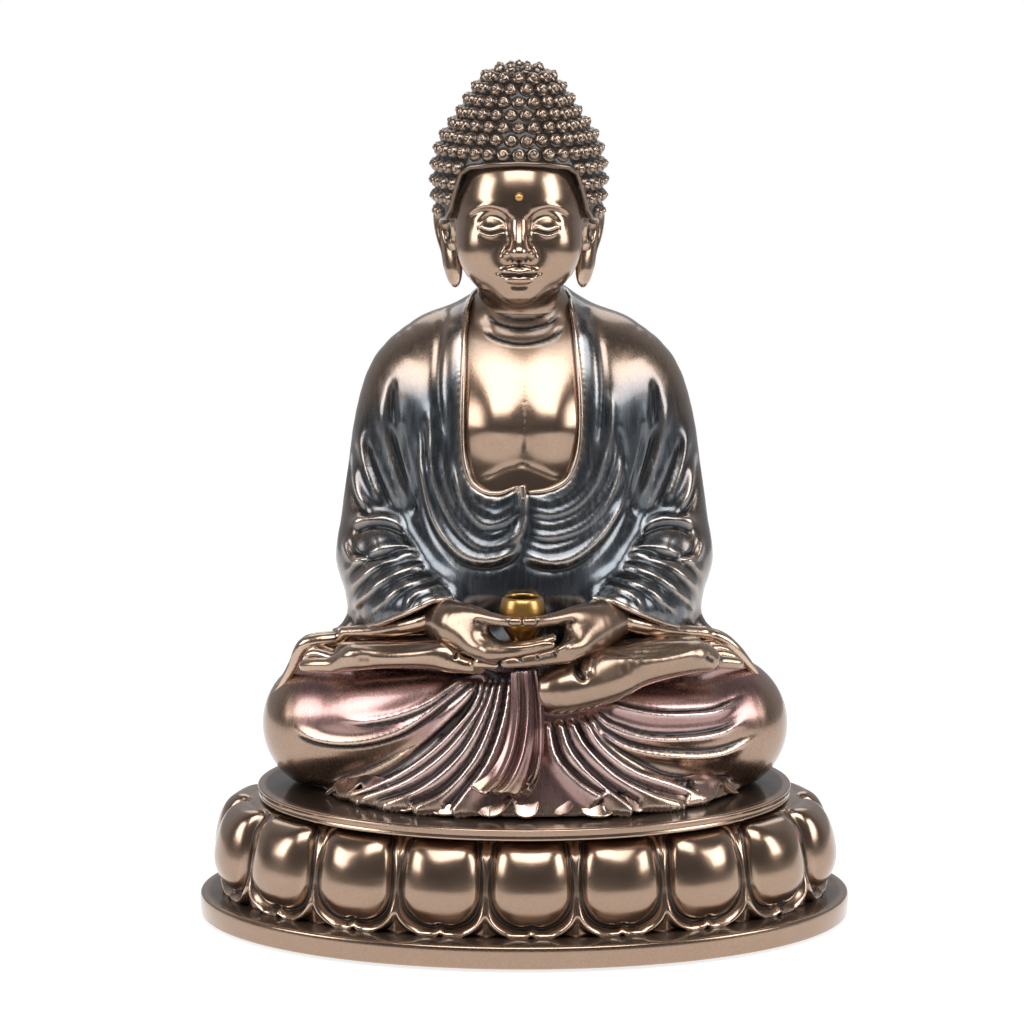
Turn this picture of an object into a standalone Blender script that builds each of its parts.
"""Seated Buddha statue on a lotus pedestal: a cold-cast figure assembled from separate castings.

Metres, +Z up. The origin is the centre of the face it stands on, and the statue looks along -Y.
Every casting is its own closed solid, and neighbours keep a joint gap of GAP.
"""

import math

import bmesh
import bpy
import numpy as np
from mathutils import Vector

# Driving dimensions
HEIGHT = 0.2495  # top of the hair over the standing face
GAP = 0.0003  # glue joint between two castings
FELT_THICK = 0.0008
PLINTH_A, PLINTH_B = 0.0942, 0.0674  # half axes of the oval plinth at its top edge
PLINTH_TOP = 0.0075
PLINTH_DRAFT = 0.0012  # the side leans in by this much at the bottom
EDGE_BEVEL = 0.0006
RING_TOP = 0.0357
PETALS = 18
PETAL_COLUMNS = 10  # mesh columns for each petal
PETAL_BULGE = 0.0026
DISC_A, DISC_B = 0.0780, 0.0590
DISC_TOP = 0.0394
SEAT = DISC_TOP + GAP  # height at which the figure starts
LAP_TOP = 0.0780
DOWEL_R, DOWEL_X = 0.0025, 0.030
NECK_DOWEL_R = 0.0030
HEAD_X = -0.0016  # the head leans this far to the statue's right
BOWL_X, BOWL_Y, BOWL_Z = -0.0006, -0.0385, 0.0873  # centre of the bowl's foot

# name: (red, green, blue, metallic, roughness)
FINISHES = {
    "bronze": (0.30, 0.20, 0.13, 0.9, 0.36),
    "robe_blue": (0.12, 0.14, 0.16, 0.9, 0.42),
    "skirt_rose": (0.36, 0.21, 0.19, 0.9, 0.38),
    "gold": (0.62, 0.38, 0.09, 1.0, 0.30),
    "felt": (0.03, 0.03, 0.03, 0.0, 0.95),
    "steel": (0.45, 0.45, 0.46, 1.0, 0.30),
}


def clear_scene():
    for old in list(bpy.data.objects):
        bpy.data.objects.remove(old)


def finish(name):
    """The material of one finish, made once."""
    found = bpy.data.materials.get(name)
    if found:
        return found
    made = bpy.data.materials.new(name)
    made.use_nodes = True
    red, green, blue, metallic, roughness = FINISHES[name]
    shader = made.node_tree.nodes["Principled BSDF"]
    shader.inputs["Base Color"].default_value = (red, green, blue, 1)
    shader.inputs["Metallic"].default_value = metallic
    shader.inputs["Roughness"].default_value = roughness
    return made


def solid_from_rings(name, rings, material, closed_path=False):
    """Bridges equal rings of points into one closed solid, with its ends capped unless the path is a loop."""
    mesh = bmesh.new()
    loops = [[mesh.verts.new(point) for point in ring] for ring in rings]
    pairs = list(zip(loops, loops[1:]))
    if closed_path:
        pairs.append((loops[-1], loops[0]))
    for first, second in pairs:
        for i in range(len(first)):
            j = (i + 1) % len(first)
            mesh.faces.new((first[i], first[j], second[j], second[i]))
    if not closed_path:
        mesh.faces.new(loops[0])
        mesh.faces.new(loops[-1])
    bmesh.ops.recalc_face_normals(mesh, faces=mesh.faces)
    data = bpy.data.meshes.new(name)
    mesh.to_mesh(data)
    mesh.free()
    data.shade_smooth()
    data.set_sharp_from_angle(angle=math.radians(40))
    made = bpy.data.objects.new(name, data)
    bpy.context.scene.collection.objects.link(made)
    data.materials.append(finish(material))
    return made


def oval(half_x, half_y, sides, power=2.0):
    """Points of a superellipse about the origin; power 2 is an ellipse and more is squarer."""
    turns = np.arange(sides) * 2 * math.pi / sides
    c, s = np.cos(turns), np.sin(turns)
    return np.stack(
        [half_x * np.sign(c) * np.abs(c) ** (2 / power), half_y * np.sign(s) * np.abs(s) ** (2 / power)],
        axis=1,
    )


def stack(name, levels, material, sides=32, power=2.0, grow=0.0):
    """A solid through level ovals: each level is (x, y, z, half width, half depth)."""
    last = len(levels) - 1
    rings = []
    for i, (x, y, z, half_x, half_y) in enumerate(levels):
        flat = oval(half_x + grow, half_y + grow, sides, power)
        z += grow * ((i == last) - (i == 0))
        rings.append([(x + p[0], y + p[1], z) for p in flat])
    return solid_from_rings(name, rings, material)


def limb(name, stations, material, sides=12, power=2.0, grow=0.0, loop=False):
    """A solid along a bent line: each station is (x, y, z, half width, half thickness).
    The width lies level across the line, and the thickness stands square to both."""
    centres = [Vector(s[:3]) for s in stations]
    count = len(stations)
    last = count - 1
    rings = []
    for i, (_, _, _, half_wide, half_thick) in enumerate(stations):
        if loop:
            ahead = (centres[(i + 1) % count] - centres[i - 1]).normalized()
            push = 0
        else:
            ahead = (centres[min(i + 1, last)] - centres[max(i - 1, 0)]).normalized()
            push = grow * ((i == last) - (i == 0))
        across = ahead.cross(Vector((0, 0, 1))).normalized()
        square = across.cross(ahead)
        centre = centres[i] + ahead * push
        flat = oval(half_wide + grow, half_thick + grow, sides, power)
        rings.append([centre + across * float(p[0]) + square * float(p[1]) for p in flat])
    return solid_from_rings(name, rings, material, closed_path=loop)


def turned(name, profile, centre, material, sides=32):
    """A solid of revolution about a vertical line from (radius, height) points, with its poles closed."""
    x, y, z = centre
    turns = [2 * math.pi * i / sides for i in range(sides)]
    rings = [[(x + r * math.cos(t), y + r * math.sin(t), z + h) for t in turns] for r, h in profile]
    return solid_from_rings(name, rings, material)


def block(name, low, high):
    """A box between two corners, used as a cutter."""
    corners = [(low[0], low[1]), (high[0], low[1]), (high[0], high[1]), (low[0], high[1])]
    rings = [[(x, y, z) for x, y in corners] for z in (low[2], high[2])]
    return solid_from_rings(name, rings, "steel")


def hidden(cutter):
    cutter.hide_render = True
    cutter.display_type = "WIRE"
    return cutter


def boolean(target, other, operation):
    """Adds an exact Boolean with another solid, which is then only a helper."""
    step = target.modifiers.new(operation.lower() + "_" + other.name, "BOOLEAN")
    step.operation = operation
    step.solver = "EXACT"
    step.object = hidden(other)


def cut(target, *cutters):
    for cutter in cutters:
        boolean(target, cutter, "DIFFERENCE")


def bevel(target, width, segments=2):
    step = target.modifiers.new("edge_round", "BEVEL")
    step.width = width
    step.segments = segments
    step.limit_method = "ANGLE"
    step.angle_limit = math.radians(50)


# Pedestal


def make_felt():
    levels = [(0, 0, z, PLINTH_A - 0.0045, PLINTH_B - 0.0045) for z in (0, FELT_THICK)]
    return stack("base_felt", levels, "felt", sides=64)


def make_plinth():
    bottom = FELT_THICK + GAP
    levels = [
        (0, 0, bottom, PLINTH_A - PLINTH_DRAFT, PLINTH_B - PLINTH_DRAFT),
        (0, 0, PLINTH_TOP, PLINTH_A, PLINTH_B),
    ]
    plinth = stack("plinth", levels, "bronze", sides=96)
    bevel(plinth, EDGE_BEVEL)
    return plinth


def make_disc():
    levels = [(0, 0, RING_TOP + GAP, DISC_A - 0.0004, DISC_B - 0.0004), (0, 0, DISC_TOP, DISC_A, DISC_B)]
    disc = stack("seat_disc", levels, "bronze", sides=96)
    bevel(disc, EDGE_BEVEL)
    for side in (-1, 1):
        cut(disc, dowel(side, "disc_hole", GAP))
    return disc


# Outer face of the petal ring: (height, half axis along X, half axis along Y, share of the petal bulge)
RING_FACE = [
    (PLINTH_TOP + GAP, 0.0850, 0.0600, 0.0),
    (0.0098, 0.0880, 0.0625, 0.3),
    (0.0130, 0.0892, 0.0632, 0.6),
    (0.0165, 0.0880, 0.0620, 0.9),
    (0.0210, 0.0876, 0.0616, 1.0),
    (0.0255, 0.0866, 0.0607, 1.0),
    (0.0300, 0.0842, 0.0598, 0.9),
    (0.0335, 0.0808, 0.0585, 0.6),
    (RING_TOP, 0.0770, 0.0570, 0.1),
]


def petal_angles():
    """Ellipse parameter of each mesh column, evenly spaced along the ring, and its place across its petal from -1 to 1."""
    fine = np.linspace(0, 2 * math.pi, 7201)
    a, b = RING_FACE[3][1:3]
    steps = np.hypot(a * np.diff(np.cos(fine)), b * np.diff(np.sin(fine)))
    along = np.concatenate([[0], np.cumsum(steps)])
    count = PETALS * PETAL_COLUMNS
    share = (np.arange(count) + 0.5) / count
    across = 2 * ((share * PETALS) % 1) - 1
    front = 0.75 * along[-1]  # a petal is centred on the front
    places = (share * along[-1] + front - along[-1] / PETALS / 2) % along[-1]
    return np.interp(places, along, fine), across


def make_lotus_ring():
    turns, across = petal_angles()
    pillow = 1 - np.abs(across) ** 3
    rings = []
    for z, a, b, share in RING_FACE:
        out = PETAL_BULGE * share * pillow
        rings.append([((a + o) * math.cos(t), (b + o) * math.sin(t), z) for t, o in zip(turns, out)])
    ring = solid_from_rings("lotus_ring", rings, "bronze")
    for side in (-1, 1):
        cut(ring, dowel(side, "ring_hole", GAP))
    return ring


def dowel(side, name, grow=0.0):
    """One steel pin, from the petal ring through the seat disc into the figure."""
    low, high = RING_TOP - 0.004, SEAT + 0.011
    profile = [(DOWEL_R + grow, low - grow), (DOWEL_R + grow, high + grow)]
    return turned(name + ("_left" if side > 0 else "_right"), profile, (side * DOWEL_X, 0.004, 0), "steel", 20)


# Legs and skirt


LAP_LEVELS = [
    (0, -0.000, SEAT, 0.0640, 0.0385),
    (0, -0.001, 0.0445, 0.0700, 0.0405),
    (0, -0.002, 0.0500, 0.0742, 0.0425),
    (0, -0.002, 0.0560, 0.0757, 0.0430),
    (0, -0.002, 0.0630, 0.0745, 0.0420),
    (0, -0.001, 0.0700, 0.0705, 0.0395),
    (0, 0.001, 0.0750, 0.0640, 0.0360),
    (0, 0.002, LAP_TOP, 0.0560, 0.0320),
]
LAP_POWER = 2.25


def make_lap():
    lap = stack("lap", LAP_LEVELS, "skirt_rose", sides=48, power=LAP_POWER)
    for side in (-1, 1):
        cut(lap, dowel(side, "lap_hole", GAP))
    return lap


def make_hem():
    """The frilled hem on the disc: a low curved bar whose outer edge waves in and out."""
    start, end, count = math.radians(203), math.radians(337), 56
    a, b, waves = 0.0680, 0.0465, 8.5
    stations = []
    for i in range(count + 1):
        share = i / count
        turn = start + (end - start) * share
        wave = 0.0012 * math.sin(share * waves * 2 * math.pi)
        half = 0.0019 * min(1, 6 * share + 0.35, 6 * (1 - share) + 0.35)
        stations.append(
            ((a + wave) * math.cos(turn), (b + wave) * math.sin(turn) - 0.004, SEAT + 0.0028, half, 0.0026)
        )
    hem = limb("hem_frill", stations, "skirt_rose", sides=8, power=3)
    cut(hem, stack("hem_clearance", LAP_LEVELS, "steel", 48, LAP_POWER, GAP))
    cut(hem, block("hem_floor", (-0.1, -0.1, 0.0), (0.1, 0.1, SEAT)))
    return hem


FLAP = [
    (-0.0045, -0.0470, 0.0458, 0.0112, 0.0026),
    (-0.0040, -0.0470, 0.0520, 0.0100, 0.0032),
    (-0.0036, -0.0468, 0.0600, 0.0084, 0.0036),
    (-0.0032, -0.0458, 0.0690, 0.0068, 0.0036),
    (-0.0030, -0.0440, 0.0765, 0.0056, 0.0030),
]


def make_flap(foot):
    """The pleated panel that falls between the shins."""
    flap = stack("skirt_flap", FLAP, "skirt_rose", sides=20, power=2.6)
    cut(flap, stack("flap_clearance", LAP_LEVELS, "steel", 48, LAP_POWER, 2 * GAP))
    cut(flap, limb("flap_shin_clearance", foot, "steel", 14, grow=2 * GAP))
    return flap


LEFT_FOOT = [
    (-0.0150, -0.0375, 0.0820, 0.0050, 0.0036),
    (-0.0280, -0.0355, 0.0834, 0.0062, 0.0048),
    (-0.0420, -0.0310, 0.0830, 0.0062, 0.0046),
    (-0.0550, -0.0260, 0.0823, 0.0062, 0.0040),
    (-0.0635, -0.0225, 0.0810, 0.0050, 0.0026),
]
RIGHT_FOOT = [
    (0.0045, -0.0475, 0.0700, 0.0020, 0.0058),
    (0.0160, -0.0475, 0.0722, 0.0030, 0.0068),
    (0.0270, -0.0430, 0.0775, 0.0058, 0.0064),
    (0.0400, -0.0345, 0.0822, 0.0068, 0.0052),
    (0.0530, -0.0275, 0.0828, 0.0066, 0.0044),
    (0.0640, -0.0220, 0.0815, 0.0050, 0.0028),
]


def make_foot(name, stations):
    foot = limb(name, stations, "bronze", sides=14)
    cut(foot, stack(name + "_seat", LAP_LEVELS, "steel", 48, LAP_POWER, GAP))
    cut(foot, hand_slab(name + "_upper_clearance", -1, UPPER_PALM, GAP))
    cut(foot, hand_slab(name + "_lower_clearance", 1, LOWER_PALM, GAP))
    return foot


DRAPE = [
    (0.0330, -0.0120, 0.0800, 0.0080, 0.0015),
    (0.0450, -0.0090, 0.0800, 0.0095, 0.0016),
    (0.0560, -0.0060, 0.0795, 0.0095, 0.0016),
    (0.0645, -0.0040, 0.0770, 0.0090, 0.0014),
    (0.0715, -0.0020, 0.0715, 0.0080, 0.0012),
    (0.0755, 0.0000, 0.0660, 0.0060, 0.0009),
]


def mirrored(side, stations, grow=0.0):
    return [(side * s[0], s[1], s[2], s[3] + grow, s[4] + grow) for s in stations]


def make_drape(side, name, foot):
    """The robe's tail, spread over the thigh behind the foot."""
    drape = limb(name, mirrored(side, DRAPE), "bronze", sides=12, power=2.6)
    cut(drape, stack(name + "_seat", LAP_LEVELS, "steel", 48, LAP_POWER, GAP))
    cut(drape, limb(name + "_toe_clearance", foot, "steel", 14, grow=2 * GAP))
    cut(drape, torso_shape(name + "_torso_clearance", GAP))
    return drape


# Upper body


TORSO_LEVELS = [
    (0, 0.0055, LAP_TOP + GAP, 0.0345, 0.0285),
    (0, 0.0055, 0.0880, 0.0340, 0.0300),
    (0, 0.0055, 0.1000, 0.0335, 0.0302),
    (0, 0.0060, 0.1150, 0.0345, 0.0294),
    (0, 0.0065, 0.1300, 0.0365, 0.0280),
    (0, 0.0070, 0.1450, 0.0390, 0.0268),
    (0, 0.0075, 0.1560, 0.0400, 0.0255),
    (0, 0.0080, 0.1630, 0.0395, 0.0240),
    (0, 0.0085, 0.1690, 0.0365, 0.0220),
    (0, 0.0090, 0.1740, 0.0300, 0.0192),
    (0, 0.0090, 0.1780, 0.0215, 0.0160),
    (0, 0.0085, 0.1802, 0.0150, 0.0130),
]
CHEST_HALF, CHEST_LOW = 0.0182, 0.1266  # the robe's opening over the bare chest
CHEST_SINK = 0.0015  # the chest lies this far behind the robe's face
NECK_LEVELS = [
    (0.0, 0.0040, 0.1640, 0.0125, 0.0115),
    (-0.0004, 0.0030, 0.1730, 0.0128, 0.0120),
    (-0.0010, 0.0020, 0.1800, 0.0125, 0.0118),
    (-0.0014, 0.0010, 0.1842, 0.0120, 0.0112),
]


def torso_shape(name, grow=0.0):
    return stack(name, TORSO_LEVELS, "robe_blue", sides=48, power=2.15, grow=grow)


def opening(name, grow=0.0):
    """The U-shaped space of the robe's opening, in front of the spine."""
    count = 10
    half, low, high = CHEST_HALF + grow, CHEST_LOW - grow, 0.190
    corner = half * 0.75
    bend = [math.radians(180 + 90 * i / count) for i in range(count + 1)]
    left = [(-half + corner + corner * math.cos(t), low + corner + corner * math.sin(t)) for t in bend]
    outline = [(-half, high)] + left + [(-x, z) for x, z in reversed(left)] + [(half, high)]
    back = 0.0015 + grow
    rings = [[(x, y, z) for x, z in outline] for y in (-0.060, back)]
    return solid_from_rings(name, rings, "steel")


def neck_shape(name, grow=0.0):
    return stack(name, NECK_LEVELS, "bronze", sides=32, grow=grow)


COLLAR = [
    (0.0060, 0.0218, 0.1806, 0.0026, 0.0022),
    (0.0145, 0.0170, 0.1808, 0.0030, 0.0024),
    (0.0188, 0.0080, 0.1800, 0.0032, 0.0024),
    (0.0200, -0.0010, 0.1768, 0.0032, 0.0023),
    (0.0198, -0.0085, 0.1712, 0.0032, 0.0022),
    (0.0196, -0.0140, 0.1630, 0.0031, 0.0021),
    (0.0198, -0.0178, 0.1520, 0.0030, 0.0020),
    (0.0196, -0.0200, 0.1400, 0.0028, 0.0020),
    (0.0172, -0.0218, 0.1315, 0.0026, 0.0019),
    (0.0118, -0.0232, 0.1270, 0.0024, 0.0018),
    (0.0045, -0.0240, 0.1255, 0.0022, 0.0018),
]


def collar_shape(name, grow=0.0):
    """The robe's hemmed edge, from the nape over both shoulders to the fold at the breast."""
    half = COLLAR[::-1]
    stations = [(-s[0], *s[1:]) for s in COLLAR] + half
    return limb(name, stations, "robe_blue", sides=10, power=2.6, grow=grow, loop=True)


def make_chest():
    chest = torso_shape("chest", grow=-CHEST_SINK)
    chest.data.materials[0] = finish("bronze")
    boolean(chest, opening("chest_outline", -GAP), "INTERSECT")
    boolean(chest, neck_shape("neck_core"), "UNION")
    cut(chest, neck_dowel("chest_dowel_hole", GAP), collar_shape("chest_collar_clearance", GAP))
    return chest


def make_torso():
    torso = torso_shape("torso")
    cut(torso, opening("chest_pocket"), neck_shape("neck_clearance", GAP))
    cut(torso, collar_shape("collar_clearance", 2 * GAP))
    return torso


def neck_dowel(name, grow=0.0):
    profile = [(NECK_DOWEL_R + grow, 0.1700 - grow), (NECK_DOWEL_R + grow, 0.1960 + grow)]
    return turned(name, profile, (-0.0010, 0.0030, 0), "steel", 20)


# The last number says how far the ring leans down at its outer side.
SLEEVE = [
    (0.0235, 0.0090, 0.1745, 0.0040, 0.0080, 0.0),
    (0.0270, 0.0088, 0.1705, 0.0072, 0.0120, 0.0),
    (0.0320, 0.0085, 0.1630, 0.0106, 0.0148, 0.0),
    (0.0355, 0.0080, 0.1530, 0.0122, 0.0155, 0.0),
    (0.0375, 0.0075, 0.1400, 0.0126, 0.0152, 0.0),
    (0.0390, 0.0060, 0.1270, 0.0132, 0.0150, 0.0),
    (0.0397, 0.0020, 0.1150, 0.0140, 0.0150, 0.0),
    (0.0392, -0.0045, 0.1055, 0.0144, 0.0146, 0.1),
    (0.0378, -0.0120, 0.0995, 0.0146, 0.0128, 0.2),
    (0.0360, -0.0185, 0.0958, 0.0154, 0.0102, 0.3),
    (0.0345, -0.0240, 0.0930, 0.0168, 0.0082, 0.4),
]
CUFF_BORE = [
    (0.0360, -0.0165, 0.0965, 0.0092, 0.0070),
    (0.0280, -0.0310, 0.0930, 0.0092, 0.0070),
]


def sleeve_limb(name, side, grow=0.0):
    """The sleeve's rings stand square to the arm, whose width lies across the body."""
    centres = [Vector((side * s[0], s[1], s[2])) for s in SLEEVE]
    last = len(SLEEVE) - 1
    rings = []
    for i, (_, _, _, half_wide, half_thick, lean) in enumerate(SLEEVE):
        ahead = (centres[min(i + 1, last)] - centres[max(i - 1, 0)]).normalized()
        across = Vector((1, 0, -side * lean))
        across = (across - ahead * across.dot(ahead)).normalized()
        square = across.cross(ahead)
        centre = centres[i] + ahead * grow * ((i == last) - (i == 0))
        flat = oval(half_wide + grow, half_thick + grow, 20)
        rings.append([centre + across * float(p[0]) + square * float(p[1]) for p in flat])
    return solid_from_rings(name, rings, "robe_blue")


def make_sleeve(side, name, foot):
    sleeve = sleeve_limb(name, side)
    cut(sleeve, torso_shape(name + "_body_clearance", GAP))
    cut(sleeve, limb(name + "_cuff", mirrored(side, CUFF_BORE), "steel", 14))
    cut(sleeve, limb(name + "_drape_clearance", mirrored(side, DRAPE), "steel", 12, 2.6, GAP))
    cut(sleeve, limb(name + "_foot_clearance", foot, "steel", 14, grow=2 * GAP))
    return sleeve


def hand_slab(name, side, palm, grow=0.0):
    return limb(name, mirrored(side, palm), "bronze", sides=14, power=2.4, grow=grow)


def make_hand(name, side, palm, thumb):
    """A palm-up hand: the palm and fingers as one bent slab, and the thumb joined to it."""
    hand = hand_slab(name, side, palm)
    boolean(hand, limb(name + "_thumb", mirrored(side, thumb), "steel", 10), "UNION")
    return hand


UPPER_PALM = [
    (0.0330, -0.0225, 0.0960, 0.0040, 0.0038),
    (0.0278, -0.0300, 0.0942, 0.0058, 0.0048),
    (0.0222, -0.0370, 0.0905, 0.0062, 0.0054),
    (0.0160, -0.0410, 0.0868, 0.0064, 0.0036),
    (0.0070, -0.0425, 0.0853, 0.0066, 0.0018),
    (-0.0080, -0.0420, 0.0850, 0.0056, 0.0014),
]
LOWER_PALM = [
    (0.0330, -0.0225, 0.0960, 0.0040, 0.0038),
    (0.0278, -0.0300, 0.0942, 0.0058, 0.0048),
    (0.0232, -0.0375, 0.0895, 0.0062, 0.0054),
    (0.0170, -0.0425, 0.0835, 0.0066, 0.0038),
    (0.0070, -0.0440, 0.0806, 0.0068, 0.0020),
    (-0.0085, -0.0440, 0.0800, 0.0058, 0.0015),
]
THUMB = [
    (0.0250, -0.0350, 0.0940, 0.0034, 0.0030),
    (0.0170, -0.0425, 0.0962, 0.0026, 0.0024),
    (0.0090, -0.0470, 0.0948, 0.0022, 0.0020),
    (0.0004, -0.0478, 0.0940, 0.0018, 0.0016),
]


def make_bowl():
    """The offering bowl: a narrow foot, a full belly and an open mouth."""
    outside = [(0.0030, 0.0), (0.0036, 0.0004), (0.0037, 0.0012), (0.0048, 0.0030), (0.0061, 0.0056)]
    outside += [(0.0066, 0.0084), (0.0064, 0.0108), (0.0056, 0.0130), (0.0050, 0.0139)]
    inside = [(0.0040, 0.0139), (0.0042, 0.0128), (0.0048, 0.0104), (0.0048, 0.0082), (0.0040, 0.0058)]
    inside += [(0.0018, 0.0046)]
    return turned("bowl", outside + inside, (BOWL_X, BOWL_Y, BOWL_Z), "gold")


# Head


HEAD_LEVELS = [
    (HEAD_X, -0.0060, 0.1812, 0.0060, 0.0075),
    (HEAD_X, -0.0045, 0.1838, 0.0110, 0.0130),
    (HEAD_X, -0.0030, 0.1880, 0.0148, 0.0180),
    (HEAD_X, -0.0015, 0.1940, 0.0172, 0.0205),
    (HEAD_X, 0.0000, 0.2010, 0.0188, 0.0222),
    (HEAD_X, 0.0005, 0.2090, 0.0194, 0.0228),
    (HEAD_X, 0.0010, 0.2170, 0.0192, 0.0225),
    (HEAD_X, 0.0020, 0.2250, 0.0170, 0.0200),
    (HEAD_X, 0.0025, 0.2310, 0.0120, 0.0150),
]
HAIR_LEVELS = [
    (HEAD_X, 0.0105, 0.1945, 0.0165, 0.0135),
    (HEAD_X, 0.0085, 0.1990, 0.0205, 0.0180),
    (HEAD_X, 0.0060, 0.2060, 0.0232, 0.0225),
    (HEAD_X, 0.0038, 0.2140, 0.0250, 0.0252),
    (HEAD_X, 0.0030, 0.2200, 0.0252, 0.0262),
    (HEAD_X, 0.0030, 0.2260, 0.0238, 0.0250),
    (HEAD_X, 0.0030, 0.2310, 0.0208, 0.0215),
    (HEAD_X, 0.0030, 0.2350, 0.0175, 0.0180),
    (HEAD_X, 0.0030, 0.2400, 0.0148, 0.0150),
    (HEAD_X, 0.0030, 0.2450, 0.0110, 0.0110),
    (HEAD_X, 0.0030, HEIGHT, 0.0045, 0.0045),
]
HAIRLINE = 0.2215  # height of the hair's edge over the forehead
NOSE = [
    (HEAD_X, -0.0215, 0.2060, 0.0012, 0.0012),
    (HEAD_X, -0.0240, 0.2000, 0.0018, 0.0020),
    (HEAD_X, -0.0238, 0.1955, 0.0034, 0.0030),
    (HEAD_X, -0.0200, 0.1935, 0.0020, 0.0016),
]


def head_shape(name, grow=0.0):
    return stack(name, HEAD_LEVELS, "bronze", sides=40, power=2.1, grow=grow)


def make_head():
    head = head_shape("head")
    boolean(head, limb("nose", NOSE, "bronze", 10), "UNION")
    cut(head, neck_shape("neck_socket", GAP), neck_dowel("head_dowel_hole", GAP))
    return head


def make_hair():
    """The cap of hair with its crown knob; the face is left clear below the hairline."""
    hair = stack("hair", HAIR_LEVELS, "bronze", sides=40)
    cut(hair, head_shape("skull_clearance", GAP))
    cut(hair, block("face_clearance", (-0.0215, -0.0400, 0.1900), (0.0183, -0.0095, HAIRLINE)))
    return hair


EAR = [
    (0.0212, -0.0035, 0.2110, 0.0010, 0.0022),
    (0.0222, -0.0030, 0.2060, 0.0016, 0.0040),
    (0.0212, -0.0030, 0.1995, 0.0013, 0.0034),
    (0.0202, -0.0035, 0.1930, 0.0013, 0.0022),
    (0.0196, -0.0040, 0.1880, 0.0020, 0.0026),
    (0.0194, -0.0040, 0.1855, 0.0010, 0.0014),
]


def make_ear(side, name):
    levels = [(HEAD_X + side * s[0], *s[1:]) for s in EAR]
    ear = stack(name, levels[::-1], "bronze", sides=14)
    cut(ear, head_shape(name + "_head_clearance", GAP))
    cut(ear, stack(name + "_hair_clearance", HAIR_LEVELS, "steel", 40, grow=GAP))
    return ear


def make_urna():
    """The bead between the brows, seated on the forehead."""
    profile = [(0.0005, 0.0), (0.0013, 0.0004), (0.0016, 0.0012), (0.0013, 0.0020), (0.0005, 0.0024)]
    bead = turned("urna_bead", profile, (HEAD_X, -0.0232, 0.2118), "gold", 16)
    cut(bead, head_shape("urna_seat", GAP))
    return bead


def main():
    clear_scene()
    make_felt()
    make_plinth()
    make_disc()
    make_lotus_ring()
    dowel(1, "dowel")
    dowel(-1, "dowel")
    make_lap()
    make_hem()
    make_flap(RIGHT_FOOT)
    make_foot("left_foot", LEFT_FOOT)
    make_foot("right_foot", RIGHT_FOOT)
    make_drape(-1, "right_drape", LEFT_FOOT)
    make_drape(1, "left_drape", RIGHT_FOOT)
    make_torso()
    make_chest()
    collar_shape("collar")
    make_sleeve(-1, "right_sleeve", LEFT_FOOT)
    make_sleeve(1, "left_sleeve", RIGHT_FOOT)
    make_hand("right_hand", -1, UPPER_PALM, THUMB)
    make_hand("left_hand", 1, LOWER_PALM, THUMB)
    make_bowl()
    neck_dowel("neck_dowel")
    make_head()
    make_hair()
    make_ear(-1, "right_ear")
    make_ear(1, "left_ear")
    make_urna()


main()
